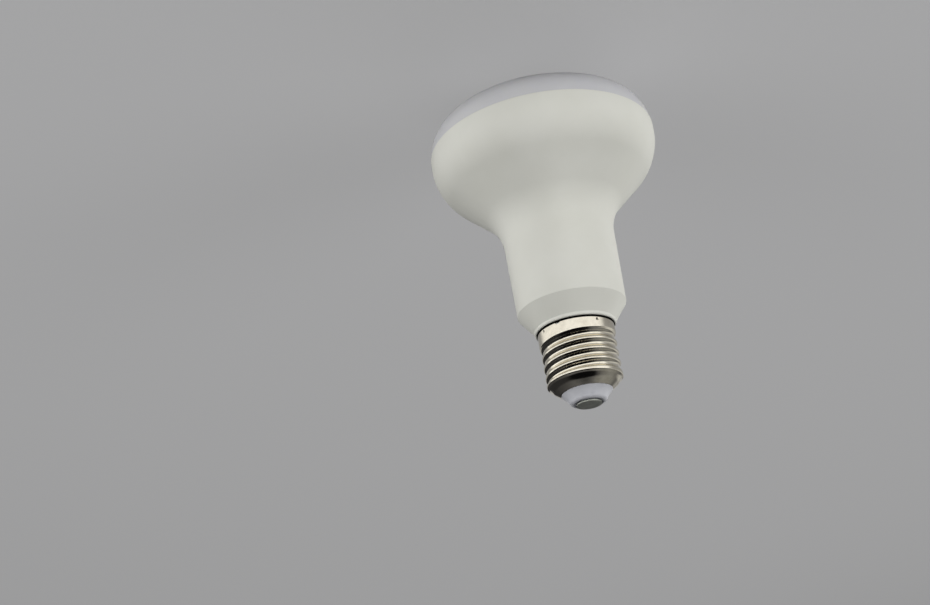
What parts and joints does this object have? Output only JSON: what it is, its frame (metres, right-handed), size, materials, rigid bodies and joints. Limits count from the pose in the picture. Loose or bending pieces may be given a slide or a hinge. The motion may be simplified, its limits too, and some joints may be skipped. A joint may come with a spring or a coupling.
{
  "type": "reflector bulb",
  "caption": "Reflector lamp with light-emitting diodes: frosted domed front, moulded white bowl and neck, and a nickel-plated screw cap.",
  "frame": {"origin": "the crown of the domed front, the lamp's lowest point as it hangs in its holder with the cap up", "axes": "+Z along the lamp's axis from the domed front to the cap; +X and +Y across the lamp, the driver board lying in the XZ plane"},
  "size_m": [0.0806, 0.0806, 0.1195],
  "materials": {
    "opal_polycarbonate": "frosted opal polycarbonate",
    "white_moulding": "fine matt moulding",
    "pressed_aluminium": "pressed sheet",
    "white_solder_mask": "white lacquer on aluminium",
    "phosphor_resin": "yellow phosphor in clear resin",
    "zinc_plated_steel": "zinc plate",
    "red_insulation": "plain",
    "black_insulation": "plain",
    "green_laminate": "lacquered laminate",
    "dark_sleeve": "shrunk sleeve",
    "red_resin": "dipped resin",
    "resistor_enamel": "baked enamel",
    "ferrite": "ground ferrite",
    "black_moulding": "moulded epoxy",
    "enamelled_copper": "enamelled wire",
    "tinned_copper": "tinned",
    "nickel_plated_shell": "bright nickel plate on rolled sheet",
    "white_insulator": "moulded",
    "contact_metal": "dull tinned"
  },
  "bodies": {
    "root": {"diffuser": "opal_polycarbonate", "housing": "white_moulding", "heat_sink": "pressed_aluminium", "led_board": "white_solder_mask", "led_packages": "phosphor_resin", "board_screws": "zinc_plated_steel", "led_lead_positive": "red_insulation", "led_lead_negative": "black_insulation", "driver_board": "green_laminate", "bulk_capacitor": "dark_sleeve", "output_capacitor": "dark_sleeve", "filter_capacitor": "red_resin", "fusible_resistor": "resistor_enamel", "inductor_core": "ferrite", "inductor_bobbin": "black_moulding", "inductor_winding": "enamelled_copper", "bridge_rectifier": "black_moulding", "driver_chip": "black_moulding", "freewheel_diode": "black_moulding", "chip_resistors": "black_moulding", "neutral_lead": "tinned_copper", "live_lead": "tinned_copper", "screw_shell": "nickel_plated_shell", "cap_insulator": "white_insulator", "centre_contact": "contact_metal"}
  },
  "joints": []
}
